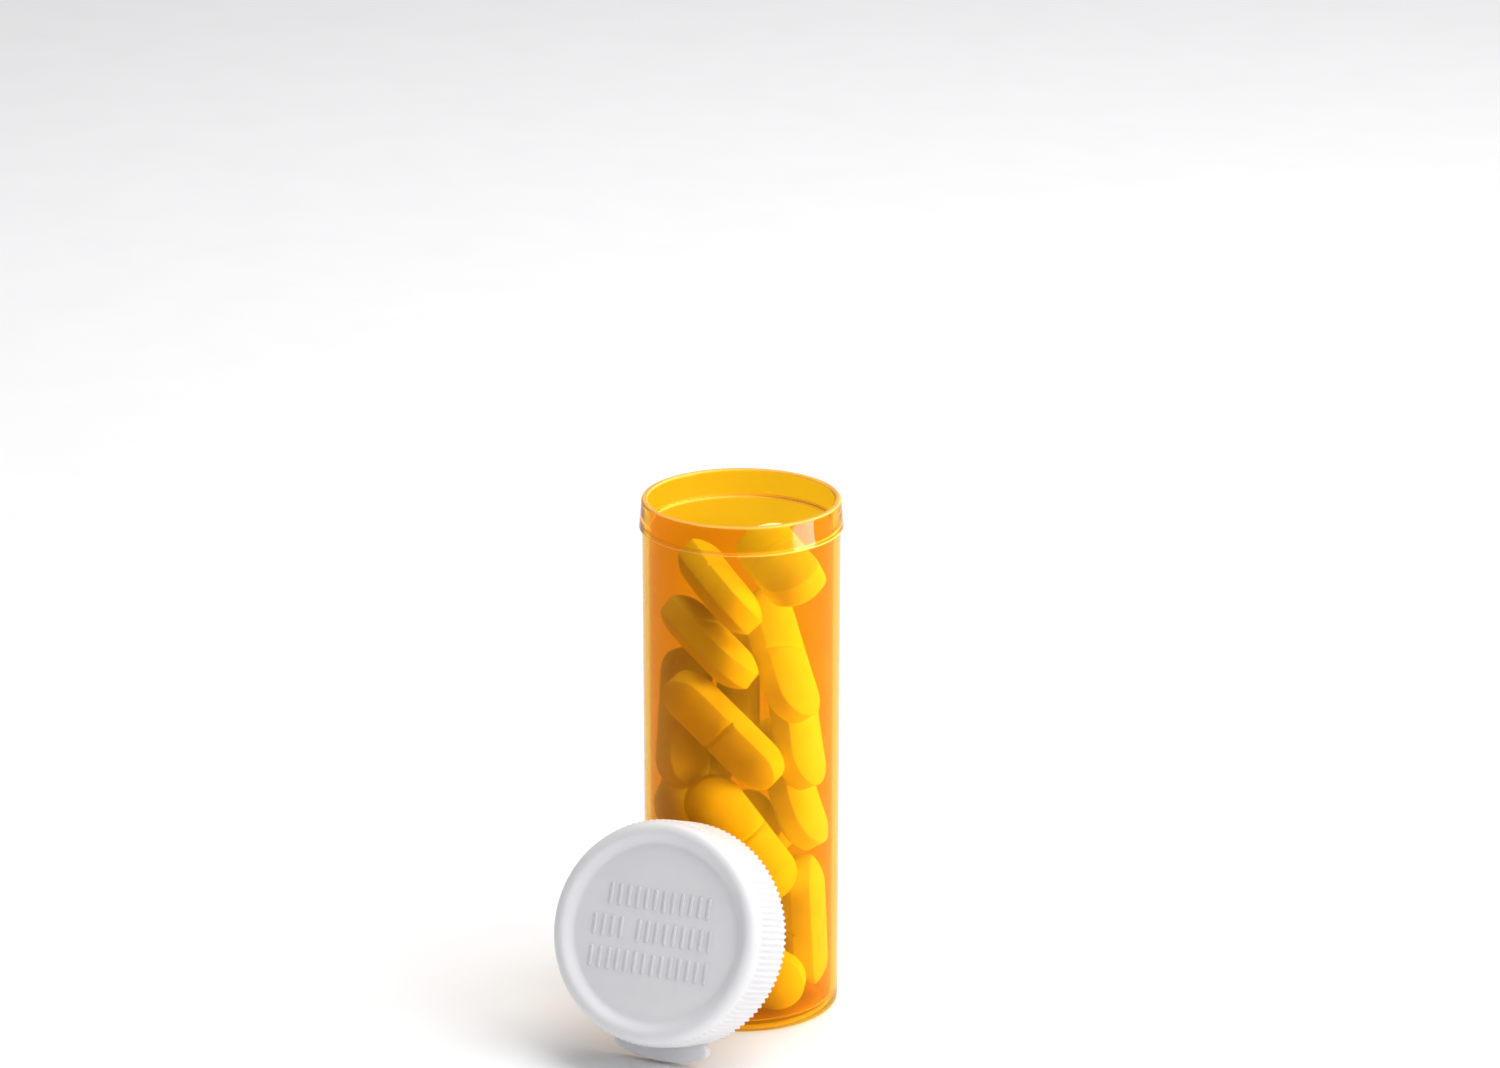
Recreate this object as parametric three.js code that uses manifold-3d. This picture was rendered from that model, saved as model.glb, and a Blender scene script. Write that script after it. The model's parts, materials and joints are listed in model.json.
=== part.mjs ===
// Prescription vial: an amber vial with a snap-on cap, open, filled with tablets.
// Millimetres, +Z up. The origin is the middle of the vial's underside, on its axis.
// The cap is off: it leans on the vial's wall, on the -Y side, with its top face outwards.
import * as THREE from 'three';
import { mergeVertices } from 'three/addons/utils/BufferGeometryUtils.js';
import Module from 'manifold-3d';

// Vial
const VIAL_HEIGHT = 80.5;
const RIM_DIAMETER = 30.0;
const VIAL_WALL = 1.0;
const VIAL_FLOOR = 1.3;
const NECK_HEIGHT = 4.3; // rim down to the ledge that the cap snaps under
const BEAD_PROUD = 0.35; // the neck flares out to the ledge by this much
const LEDGE_STEP = 0.45; // the body is this far inside the ledge
const LEDGE_CHAMFER = 0.2;
const BODY_TAPER = 0.2; // draft on the radius, top to bottom
const RIM_ROUND = 0.25;
const BASE_ROUND = 1.0;
const FLOOR_ROUND = 1.2;
const STAND_RING = 1.6; // width of the ring that the vial stands on
const BASE_RECESS_DEPTH = 0.4;
const BASE_PAD_RADIUS = 4.0; // flat pad in the middle of the underside

// Cap, in its own frame: open end at z = 0, top face up
const CAP_HEIGHT = 10.8;
const CAP_TOP_THICKNESS = 1.2;
const CAP_RECESS_DEPTH = 1.0;
const CAP_RING_WIDTH = 2.8; // raised ring round the recessed face
const CAP_RING_SLOPE = 1.2;
const CAP_EDGE_ROUND = 1.4;
const SKIRT_WALL = 1.0;
const SKIRT_CLEARANCE = 0.3; // over the neck's widest place
const SNAP_RING_PROUD = 0.6;
const SNAP_RING_HEIGHT = 1.6;
const SNAP_GAP = 0.3; // between the ledge and the snap ring, cap closed
const PLUG_DEPTH = 2.2; // seal ring that goes inside the mouth
const PLUG_WALL = 0.9;
const PLUG_CLEARANCE = 0.2;
const RIB_COUNT = 112;
const RIB_DEPTH = 0.3;
const RIB_TOP_MARGIN = 1.7; // plain band between the ribs and the top
const TAB_WIDTH = 14.0;
const TAB_REACH = 2.2; // beyond the ribs
const TAB_THICKNESS = 1.8;

// Where the cap leans
const LEAN_ANGLE = 21.0; // degrees between the cap's axis and the floor
const LEAN_GAP = 0.3;

// Tablets
const TABLET_LENGTH = 22.0;
const TABLET_WIDTH = 9.0;
const TABLET_THICKNESS = 6.6;
const TABLET_BAND = 2.8; // straight edge band between the two crowns
const TABLET_GAP = 0.05; // clear skin round each tablet
const FILL_LINE_BELOW_RIM = 4.5;
const PILE_DENSITY = 0.355; // tablets' share of the room below the fill line
const PILE_TURN = 25.0; // degrees, the whole pile about the vial's axis

// How the pile settles
const PILE_SEED = 28;
const HIDDEN_SPREAD = 0.8; // hidden tablets start within this share of the inside radius
const HIDDEN_REACH = 0.76; // and over this share of the fill's height
const FRONT_EASE = 0.12; // how easily a front tablet gives way, where a hidden one has 1
const SETTLE_ROUNDS = 6000;
const SETTLE_TOLERANCE = 0.02;
const FALL_STEP = 0.006;
const GIVE = 1.5; // how far a tablet follows the mean of its pushes

const AMBER = 0xe8920c;
const WHITE = 0xe6e8ee;
const YELLOW = 0xf2c81e;

const ROUND_SEGMENTS = 72;
const ARC_STEPS = 3;
const TABLET_SEGMENTS = 20;
const CROWN_STEPS = 2;
const TIP_STEPS = 2;
const TAB_ARC_STEPS = 8;
const MERGE_DISTANCE = 1e-4;

// Sizes that follow
const rimRadius = RIM_DIAMETER / 2;
const mouthRadius = rimRadius - VIAL_WALL;
const beadRadius = rimRadius + BEAD_PROUD;
const ledgeZ = VIAL_HEIGHT - NECK_HEIGHT;
const bodyTopRadius = beadRadius - LEDGE_STEP;
const baseRadius = bodyTopRadius - BODY_TAPER;
const floorRadius = baseRadius - VIAL_WALL;
const skirtInner = beadRadius + SKIRT_CLEARANCE;
const skirtOuter = skirtInner + SKIRT_WALL;
const ribOuter = skirtOuter + RIB_DEPTH;
const capFaceZ = CAP_HEIGHT - CAP_RECESS_DEPTH;
const capSeatZ = capFaceZ - CAP_TOP_THICKNESS;

const wasm = await Module();
wasm.setup();

function toSolid(geometry) {
  const bare = geometry.index ? geometry.toNonIndexed() : geometry.clone();
  bare.deleteAttribute('normal');
  bare.deleteAttribute('uv');
  const merged = mergeVertices(bare, MERGE_DISTANCE);
  return new wasm.Manifold(new wasm.Mesh({
    numProp: 3,
    vertProperties: new Float32Array(merged.attributes.position.array),
    triVerts: new Uint32Array(merged.index.array),
  }));
}

function toGeometry(solid) {
  const mesh = solid.getMesh();
  const geometry = new THREE.BufferGeometry();
  geometry.setAttribute('position', new THREE.BufferAttribute(mesh.vertProperties, 3));
  geometry.setIndex(new THREE.BufferAttribute(mesh.triVerts, 1));
  geometry.computeVertexNormals();
  return geometry;
}

// Points of a quarter round about (r, z), from one angle to another, in degrees.
function arc(r, z, radius, from, to, steps = ARC_STEPS) {
  const points = [];
  for (let i = 0; i <= steps; i += 1) {
    const angle = THREE.MathUtils.degToRad(from + ((to - from) * i) / steps);
    points.push(new THREE.Vector2(r + radius * Math.cos(angle), z + radius * Math.sin(angle)));
  }
  return points;
}

function turned(points) {
  const geometry = new THREE.LatheGeometry(points, ROUND_SEGMENTS);
  return geometry.rotateX(Math.PI / 2);
}

function at(r, z) {
  return new THREE.Vector2(r, z);
}

function plastic(colour, roughness) {
  return new THREE.MeshStandardMaterial({ color: colour, roughness, metalness: 0 });
}

// One moulding: wall, rim, snap ledge, floor and standing ring.
function vialBody() {
  const standOuter = baseRadius - BASE_ROUND;
  const standInner = standOuter - STAND_RING;
  const outside = [
    at(0, 0),
    at(BASE_PAD_RADIUS, 0),
    at(BASE_PAD_RADIUS + BASE_RECESS_DEPTH, BASE_RECESS_DEPTH),
    at(standInner - BASE_RECESS_DEPTH, BASE_RECESS_DEPTH),
    at(standInner, 0),
    ...arc(standOuter, BASE_ROUND, BASE_ROUND, -90, 0),
    at(bodyTopRadius, ledgeZ - LEDGE_CHAMFER),
    at(beadRadius, ledgeZ),
    ...arc(rimRadius - RIM_ROUND, VIAL_HEIGHT - RIM_ROUND, RIM_ROUND, 0, 90),
  ];
  const inside = [
    ...arc(mouthRadius + RIM_ROUND, VIAL_HEIGHT - RIM_ROUND, RIM_ROUND, 90, 180),
    at(bodyTopRadius - VIAL_WALL, ledgeZ - NECK_HEIGHT / 2),
    ...arc(floorRadius - FLOOR_ROUND, VIAL_FLOOR + FLOOR_ROUND, FLOOR_ROUND, 0, -90),
    at(0, VIAL_FLOOR),
  ];
  const solid = toSolid(turned([...outside, ...inside]));
  const mesh = new THREE.Mesh(toGeometry(solid), plastic(AMBER, 0.12));
  mesh.name = 'vial_body';
  return mesh;
}

// The turned shell of the cap, without ribs.
function capShell() {
  const faceRadius = skirtOuter - CAP_RING_WIDTH;
  const plugOuter = mouthRadius - PLUG_CLEARANCE;
  const snapTop = capSeatZ - NECK_HEIGHT - SNAP_GAP;
  const snapInner = skirtInner - SNAP_RING_PROUD;
  return toSolid(turned([
    at(0, capSeatZ),
    at(plugOuter - PLUG_WALL, capSeatZ),
    at(plugOuter - PLUG_WALL, capSeatZ - PLUG_DEPTH),
    at(plugOuter - PLUG_WALL / 2, capSeatZ - PLUG_DEPTH),
    at(plugOuter, capSeatZ - PLUG_DEPTH + PLUG_WALL / 2),
    at(plugOuter, capSeatZ),
    at(skirtInner, capSeatZ),
    at(skirtInner, snapTop),
    at(snapInner, snapTop - SNAP_RING_PROUD),
    at(skirtInner, snapTop - SNAP_RING_HEIGHT),
    at(skirtInner, 0),
    at(skirtOuter, 0),
    ...arc(skirtOuter - CAP_EDGE_ROUND, CAP_HEIGHT - CAP_EDGE_ROUND, CAP_EDGE_ROUND, 0, 90),
    at(faceRadius + CAP_RING_SLOPE, CAP_HEIGHT),
    at(faceRadius, capFaceZ),
    at(0, capFaceZ),
  ]));
}

// The ribbed outline, extruded, with a hole that stays inside the skirt's wall.
function capRibs() {
  const outline = new THREE.Shape();
  const pitch = (2 * Math.PI) / RIB_COUNT;
  const corners = [[0.0, skirtOuter], [0.25, ribOuter], [0.5, ribOuter], [0.75, skirtOuter]];
  for (let rib = 0; rib < RIB_COUNT; rib += 1) {
    for (const [share, radius] of corners) {
      const angle = (rib + share) * pitch;
      const move = rib === 0 && share === 0 ? 'moveTo' : 'lineTo';
      outline[move](radius * Math.cos(angle), radius * Math.sin(angle));
    }
  }
  const hole = new THREE.Path();
  hole.absarc(0, 0, (skirtInner + skirtOuter) / 2, 0, 2 * Math.PI, true);
  outline.holes.push(hole);
  const height = CAP_HEIGHT - RIB_TOP_MARGIN;
  return toSolid(new THREE.ExtrudeGeometry(outline, {
    depth: height,
    bevelEnabled: false,
    curveSegments: ROUND_SEGMENTS / 2,
  }));
}

// Thumb tab: a short curved lip at the open end, with round ends.
function capTab() {
  const reach = ribOuter + TAB_REACH;
  const half = TAB_WIDTH / 2 / reach;
  const endRadius = (reach - skirtOuter) / 2;
  const middle = reach - endRadius;
  const outline = new THREE.Shape();
  const centre = -Math.PI / 2;
  outline.absarc(0, 0, reach, centre - half, centre + half, false);
  const endAngle = centre + half;
  outline.absarc(
    middle * Math.cos(endAngle), middle * Math.sin(endAngle), endRadius, endAngle, endAngle + Math.PI, false,
  );
  outline.absarc(0, 0, skirtOuter - SKIRT_WALL / 2, centre + half, centre - half, true);
  const startAngle = centre - half;
  outline.absarc(
    middle * Math.cos(startAngle), middle * Math.sin(startAngle), endRadius, startAngle + Math.PI,
    startAngle + 2 * Math.PI, false,
  );
  return toSolid(new THREE.ExtrudeGeometry(outline, {
    depth: TAB_THICKNESS,
    bevelEnabled: false,
    curveSegments: TAB_ARC_STEPS,
  }));
}

// One moulding: the cap, leaning on the vial with its tab on the floor.
function cap() {
  const solid = capShell().add(capRibs()).add(capTab());
  const mesh = new THREE.Mesh(toGeometry(solid), plastic(WHITE, 0.45));
  mesh.name = 'cap';
  const tilt = Math.PI / 2 - THREE.MathUtils.degToRad(LEAN_ANGLE);
  const lift = (ribOuter + TAB_REACH) * Math.sin(tilt);
  const touchZ = lift + ribOuter * Math.sin(tilt);
  const wallRadius = THREE.MathUtils.mapLinear(touchZ, BASE_ROUND, ledgeZ, baseRadius, bodyTopRadius);
  mesh.rotation.x = tilt;
  mesh.position.set(0, -(wallRadius + LEAN_GAP + ribOuter * Math.cos(tilt)), lift);
  return mesh;
}

// A round tablet's turned section, with its two halves moved apart to the tablet's length.
function tabletGeometry() {
  const halfWidth = TABLET_WIDTH / 2;
  const halfBand = TABLET_BAND / 2;
  const crown = TABLET_THICKNESS / 2 - halfBand;
  const section = [];
  for (let i = 0; i <= CROWN_STEPS; i += 1) {
    const share = i / CROWN_STEPS;
    section.push(at(halfWidth * share, -halfBand - crown * (1 - share * share)));
  }
  for (let i = CROWN_STEPS; i >= 0; i -= 1) {
    const share = i / CROWN_STEPS;
    section.push(at(halfWidth * share, halfBand + crown * (1 - share * share)));
  }
  const halfStep = Math.PI / TABLET_SEGMENTS;
  const round = new THREE.LatheGeometry(section, TABLET_SEGMENTS, halfStep);
  round.rotateX(Math.PI / 2);
  const places = round.attributes.position;
  const stretch = (TABLET_LENGTH - TABLET_WIDTH) / 2;
  for (let i = 0; i < places.count; i += 1) {
    const x = places.getX(i);
    const onAxis = Math.abs(x) < MERGE_DISTANCE;
    places.setX(i, onAxis ? x : x + Math.sign(x) * stretch);
  }
  return toGeometry(toSolid(round));
}

// Spheres that together hold a tablet, in its own frame: their centres go round a smaller oblong.
function tabletCover() {
  const row = (TABLET_WIDTH - TABLET_THICKNESS) / 2;
  const reach = (TABLET_LENGTH - TABLET_WIDTH) / 2;
  const radius = Math.hypot(TABLET_WIDTH / 2 - row, TABLET_BAND / 2) + TABLET_GAP;
  const steps = Math.ceil((2 * reach) / (radius / 2));
  const centres = [];
  for (const side of [-1, 1]) {
    for (let i = 0; i <= steps; i += 1) {
      centres.push(new THREE.Vector3(-reach + (2 * reach * i) / steps, row * side, 0));
    }
    for (const tip of arc(reach, 0, row, -45, 45, TIP_STEPS)) {
      centres.push(new THREE.Vector3(tip.x * side, tip.y, 0));
    }
  }
  return { centres, radius };
}

// Numbers from 0 to 1 that are the same on every run.
function seededRandom(seed) {
  const multiplier = 1664525;
  const increment = 1013904223;
  let state = seed;
  return () => {
    state = (Math.imul(state, multiplier) + increment) >>> 0;
    return state / 2 ** 32;
  };
}

function turnOf(heading, dip, roll) {
  const euler = new THREE.Euler(
    THREE.MathUtils.degToRad(roll),
    -THREE.MathUtils.degToRad(dip),
    THREE.MathUtils.degToRad(heading),
    'ZYX',
  );
  return new THREE.Quaternion().setFromEuler(euler);
}

// The tablets that lie at the front of the pile. Each starts with its middle at a place to the side
// and to the back, as shares of the inside radius, and up, as a share of the fill. Then its turn,
// in degrees: heading in plan, dip of the long axis, and roll about it.
const FRONT_TABLETS = [
  { side: 0.05, back: -0.45, up: 0.09, heading: 15, dip: -3, roll: 75 },
  { side: 0.62, back: 0.05, up: 0.19, heading: 90, dip: 78, roll: 90 },
  { side: 0.12, back: -0.42, up: 0.4, heading: 0, dip: -34, roll: 75 },
  { side: 0.55, back: 0.15, up: 0.44, heading: -60, dip: -50, roll: -30 },
  { side: -0.22, back: -0.42, up: 0.6, heading: -8, dip: -42, roll: 125 },
  { side: 0.55, back: 0.1, up: 0.6, heading: -60, dip: -50, roll: -30 },
  { side: -0.3, back: 0.0, up: 0.74, heading: -60, dip: -15, roll: -40 },
  { side: 0.58, back: -0.05, up: 0.76, heading: -60, dip: -50, roll: -30 },
  { side: -0.25, back: 0.05, up: 0.86, heading: -68, dip: -28, roll: -50 },
  { side: 0.5, back: 0.3, up: 0.85, heading: 80, dip: -5, roll: -40 },
];

function frontOfPile(fill) {
  return FRONT_TABLETS.map(({ side, back, up, heading, dip, roll }) => ({
    place: new THREE.Vector3(side * floorRadius, back * floorRadius, VIAL_FLOOR + up * fill),
    turn: turnOf(heading, dip, roll),
    ease: FRONT_EASE,
  }));
}

// The hidden ones start behind them, spread over the height, each turned its own way.
function restOfPile(count, fill) {
  const random = seededRandom(PILE_SEED);
  const rest = [];
  for (let i = 0; i < count; i += 1) {
    const bearing = Math.PI * random();
    const out = HIDDEN_SPREAD * floorRadius * Math.sqrt(random());
    const height = (HIDDEN_REACH * fill * (i + 0.5)) / count;
    rest.push({
      place: new THREE.Vector3(out * Math.cos(bearing), out * Math.sin(bearing), height),
      turn: turnOf(360 * random(), 90 * random(), 180 * random()),
      ease: 1,
    });
  }
  return rest;
}

// The pushes that the floor and the wall give a tablet's spheres: where each acts, and how far.
function pushesFromVial(spheres, radius) {
  const room = floorRadius - radius;
  const lowest = VIAL_FLOOR + radius;
  const pushes = [];
  for (const centre of spheres) {
    const plan = Math.hypot(centre.x, centre.y);
    if (plan > room) {
      const inward = new THREE.Vector3(centre.x, centre.y, 0).multiplyScalar(room / plan - 1);
      pushes.push([centre, inward]);
    }
    if (centre.z < lowest) {
      pushes.push([centre, new THREE.Vector3(0, 0, lowest - centre.z)]);
    }
  }
  return pushes;
}

// The pushes between two tablets whose spheres meet. share is the part that the first one takes.
function pushApart(first, second, radius, share) {
  const pushes = { first: [], second: [] };
  for (const centre of first) {
    for (const other of second) {
      const apart = centre.distanceTo(other);
      if (apart < 2 * radius) {
        const line = centre.clone().sub(other).multiplyScalar((2 * radius) / apart - 1);
        pushes.first.push([centre, line.clone().multiplyScalar(share)]);
        pushes.second.push([other, line.multiplyScalar(share - 1)]);
      }
    }
  }
  return pushes;
}

function pushesOn(pile, cover) {
  const spheres = pile.map(({ place, turn }) => (
    cover.centres.map((centre) => centre.clone().applyQuaternion(turn).add(place))
  ));
  const pushes = spheres.map((own) => pushesFromVial(own, cover.radius));
  const reach = TABLET_LENGTH + 2 * TABLET_GAP;
  pile.forEach((tablet, i) => {
    pile.slice(0, i).forEach((other, j) => {
      if (tablet.place.distanceTo(other.place) < reach) {
        const share = tablet.ease / (tablet.ease + other.ease);
        const found = pushApart(spheres[i], spheres[j], cover.radius, share);
        pushes[i].push(...found.first);
        pushes[j].push(...found.second);
      }
    });
  });
  return pushes;
}

// Moves a tablet as a rigid body, by the mean of its pushes. Returns the longest push.
function giveWay(tablet, pushes) {
  if (pushes.length === 0) {
    return 0;
  }
  const move = new THREE.Vector3();
  const twist = new THREE.Vector3();
  let lever = 0;
  for (const [point, push] of pushes) {
    const arm = point.clone().sub(tablet.place);
    move.add(push);
    twist.add(arm.clone().cross(push));
    lever += arm.lengthSq();
  }
  const angle = (GIVE * twist.length()) / Math.max(lever, TABLET_WIDTH);
  const turn = new THREE.Quaternion().setFromAxisAngle(twist.normalize(), angle);
  tablet.turn.premultiply(turn).normalize();
  tablet.place.addScaledVector(move, GIVE / pushes.length);
  return Math.max(...pushes.map(([, push]) => push.length()));
}

// Lets the pile sink for the first half of the rounds, then part until no two tablets meet.
function settle(pile, cover) {
  for (let round = 0; round < SETTLE_ROUNDS; round += 1) {
    const fall = FALL_STEP * Math.max(0, 1 - (2 * round) / SETTLE_ROUNDS);
    for (const tablet of pile) {
      tablet.place.z -= fall * tablet.ease;
    }
    const pushes = pushesOn(pile, cover);
    const longest = Math.max(...pile.map((tablet, i) => giveWay(tablet, pushes[i])));
    if (fall === 0 && longest < SETTLE_TOLERANCE) {
      return;
    }
  }
}

function tablets() {
  const geometry = tabletGeometry();
  const fill = VIAL_HEIGHT - FILL_LINE_BELOW_RIM - VIAL_FLOOR;
  const room = Math.PI * floorRadius ** 2 * fill;
  const count = Math.round((PILE_DENSITY * room) / toSolid(geometry).volume());
  const front = frontOfPile(fill);
  const pile = [...front, ...restOfPile(count - front.length, fill)];
  settle(pile, tabletCover());
  const group = new THREE.Group();
  group.rotation.z = THREE.MathUtils.degToRad(PILE_TURN);
  pile.forEach((tablet, index) => {
    const mesh = new THREE.Mesh(geometry, plastic(YELLOW, 0.7));
    mesh.name = `tablet_${String(index + 1).padStart(2, '0')}`;
    mesh.quaternion.copy(tablet.turn);
    mesh.position.copy(tablet.place);
    group.add(mesh);
  });
  return group;
}

const prescriptionVial = new THREE.Group();
prescriptionVial.add(vialBody(), cap(), tablets());

export default prescriptionVial;
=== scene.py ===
# %% [markdown]
# # An open prescription vial
# A pharmacy hands tablets out in a thin-walled vial of clear amber plastic. Here the vial stands
# open and full, and its white snap cap leans on the wall. Three finishes tell the object: amber
# polypropylene that shows what is inside, soft white polyethylene, and matt pressed powder.
#
# The CAD model already fixes every place and size, so the first cell only loads it. Each later
# cell makes one visible piece around it, in metres, in the same frame.

# %% Load the CAD frame
import json
import math

import bmesh
import bpy
import numpy as np
from mathutils import Matrix, Vector


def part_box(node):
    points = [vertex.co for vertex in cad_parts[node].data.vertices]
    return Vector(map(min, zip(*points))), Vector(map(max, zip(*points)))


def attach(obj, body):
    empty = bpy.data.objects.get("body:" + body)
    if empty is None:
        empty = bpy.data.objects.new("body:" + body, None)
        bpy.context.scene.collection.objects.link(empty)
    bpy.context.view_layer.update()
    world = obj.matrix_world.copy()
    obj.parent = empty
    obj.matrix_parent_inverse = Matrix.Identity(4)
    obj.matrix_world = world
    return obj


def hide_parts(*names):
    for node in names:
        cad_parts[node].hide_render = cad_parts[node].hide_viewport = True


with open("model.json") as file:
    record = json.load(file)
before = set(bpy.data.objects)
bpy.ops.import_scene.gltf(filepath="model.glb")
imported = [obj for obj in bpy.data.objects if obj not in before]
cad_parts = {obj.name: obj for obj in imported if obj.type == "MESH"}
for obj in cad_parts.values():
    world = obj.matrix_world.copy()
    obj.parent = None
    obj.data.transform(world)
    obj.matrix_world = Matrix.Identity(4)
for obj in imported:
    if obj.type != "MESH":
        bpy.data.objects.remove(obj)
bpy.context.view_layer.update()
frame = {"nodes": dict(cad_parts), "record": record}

MM = 0.001

print("nodes:", sorted(frame["nodes"]))

# %% [markdown]
# ## Where everything is
# The frame says where the pieces are: a node's box gives the vial's height and its widest radius,
# and the mounts give the cap's face and the way it looks. Nothing is placed by eye.
# The cap was drawn standing upright, so its pieces are made upright too and then moved by one
# matrix, built from the mount.

# %% Sizes and places from the frame
CAP_FACE_HEIGHT = 9.8 * MM  # from the cap's open end up to its recessed face


def mount(name):
    """A mount's point and its outward direction."""
    found = [m for m in frame["record"]["mounts"] if m["name"] == name][0]
    return Vector(found["pos_m"]), Vector(found["axis"]).normalized()


vial_low, vial_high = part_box("vial_body")
vial_height = vial_high.z
ledge_radius = vial_high.x

face_point, cap_up = mount("cap_face")
cap_side = Vector((1.0, 0.0, 0.0))
cap_place = Matrix.Translation(face_point - cap_up * CAP_FACE_HEIGHT) @ Matrix(
    (cap_side, cap_up.cross(cap_side), cap_up)
).transposed().to_4x4()

tablet_nodes = sorted(name for name in frame["nodes"] if name.startswith("tablet_"))
print(f"vial {vial_height / MM:.1f} mm high, ledge {2 * ledge_radius / MM:.1f} mm across")
lean = math.degrees(cap_up.angle((0, -1, 0)))
print(f"{len(tablet_nodes)} tablets, cap leaning {lean:.0f} degrees")

# %% [markdown]
# ## Small helpers
# Colours are written as the sRGB hex values that a paint chart gives. Blender's shaders want
# linear numbers, so one function turns them. One more adds a shader node with its settings and
# links, and one makes a mesh object from points and faces, at the origin, smooth, with its sharp
# edges kept.

# %% Helpers
SHARP_ANGLE = math.radians(40)
MERGE_DISTANCE = 0.0001 * MM


def srgb(hex_code):
    """Linear red, green, blue and alpha from an sRGB hex colour."""
    channels = [int(hex_code[i : i + 2], 16) / 255 for i in (1, 3, 5)]
    linear = [c / 12.92 if c <= 0.04045 else ((c + 0.055) / 1.055) ** 2.4 for c in channels]
    return (*linear, 1.0)


def add_node(tree, kind, inputs=None, **settings):
    """Adds a node. inputs maps an input to a plain value, or to the socket that drives it."""
    node = tree.nodes.new(kind)
    for name, value in settings.items():
        setattr(node, name, value)
    for key, value in (inputs or {}).items():
        if isinstance(value, bpy.types.NodeSocket):
            tree.links.new(value, node.inputs[key])
        else:
            node.inputs[key].default_value = value
    return node


def new_material(name):
    """An empty material and its node tree."""
    material = bpy.data.materials.new(name)
    material.use_nodes = True
    material.node_tree.nodes.clear()
    return material, material.node_tree


def finish_mesh(mesh, material):
    """Smooth faces with the real edges kept sharp, and one material."""
    mesh.polygons.foreach_set("use_smooth", [True] * len(mesh.polygons))
    mesh.set_sharp_from_angle(angle=SHARP_ANGLE)
    mesh.materials.clear()
    mesh.materials.append(material)
    mesh.update()


def mesh_object(name, points, faces, material):
    """An object at the origin, with its doubles merged and its faces pointing outwards."""
    mesh = bpy.data.meshes.new(name)
    mesh.from_pydata([tuple(p) for p in points], [], faces)
    work = bmesh.new()
    work.from_mesh(mesh)
    bmesh.ops.remove_doubles(work, verts=work.verts, dist=MERGE_DISTANCE)
    bmesh.ops.recalc_face_normals(work, faces=work.faces)
    work.to_mesh(mesh)
    work.free()
    finish_mesh(mesh, material)
    made = bpy.data.objects.new(name, mesh)
    bpy.context.scene.collection.objects.link(made)
    return made


def as_plain_mesh(piece, material):
    """Puts the evaluated mesh in place of the piece's own mesh and takes its modifiers away."""
    bpy.context.view_layer.update()
    evaluated = piece.evaluated_get(bpy.context.evaluated_depsgraph_get())
    mesh = bpy.data.meshes.new_from_object(evaluated)
    piece.modifiers.clear()
    piece.data = mesh
    mesh.name = piece.name
    finish_mesh(mesh, material)
    return piece


def hand_over(piece, body, slot, *nodes):
    """Tells the frame which body a piece moves with, and hides the CAD nodes it stands for. The slot
    is not used.
    """
    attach(piece, body)
    if nodes:
        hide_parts(*nodes)
    triangles = sum(len(face.vertices) - 2 for face in piece.data.polygons)
    print(f"{piece.name}: {triangles} triangles, moves with {body}")


# %% [markdown]
# ## Camera
# A long lens, standing to the right of the cap and looking a little down, as for a product
# picture. Its place is measured from the vial's axis, where the frame has its origin.

# %% Camera
CAMERA_AZIMUTH = math.radians(25.0)
CAMERA_DISTANCE = 0.9225  # level distance from the vial's axis
CAMERA_HEIGHT = 0.375
CAMERA_PITCH = math.radians(18.03)
CAMERA_SWING = math.radians(0.08)  # the lens points just past the axis
CAMERA_LENS = 155.3  # on a sensor 36 mm wide
CAMERA_SENSOR = 36.0

camera_data = bpy.data.cameras.new("camera")
camera_data.lens = CAMERA_LENS
camera_data.sensor_width = CAMERA_SENSOR
camera_data.clip_start = 0.05
camera_data.clip_end = 50.0
camera = bpy.data.objects.new("camera", camera_data)
bpy.context.scene.collection.objects.link(camera)
bpy.context.scene.camera = camera

look_turn = CAMERA_AZIMUTH - CAMERA_SWING
look = Vector(
    (
        -math.sin(look_turn) * math.cos(CAMERA_PITCH),
        math.cos(look_turn) * math.cos(CAMERA_PITCH),
        -math.sin(CAMERA_PITCH),
    )
)
camera.location = (
    CAMERA_DISTANCE * math.sin(CAMERA_AZIMUTH),
    -CAMERA_DISTANCE * math.cos(CAMERA_AZIMUTH),
    CAMERA_HEIGHT,
)
camera.rotation_mode = "QUATERNION"
camera.rotation_quaternion = look.to_track_quat("-Z", "Y")
print(f"camera {camera.location.length:.3f} m away")

# %% [markdown]
# ## Floor and light
# The set is a white table top under a broad soft light, so that the amber glows and the white cap
# keeps a clean grey modelling. A second soft box on the right gives the tablets their bright sides.
# A small third one stands on the table: only the neck leans enough to mirror it, as a pale square.
# It lights nothing but the vial, and a weaker one in the same place lights nothing but the
# tablets, or they would bleach the cap's ribs.
# The Standard view keeps pure white and strong orange as they are, where a film-like view would
# mute them.

# %% Floor and light
FLOOR_RADIUS = 3.0
FLOOR_SIDES = 96
SKY_COLOUR = "#F8F8FC"
SKY_STRENGTH = 0.35
LOW_PLACE = (0.297, 0.042, 0.066)
LOW_SIZE = (0.16, 0.13)


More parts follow.
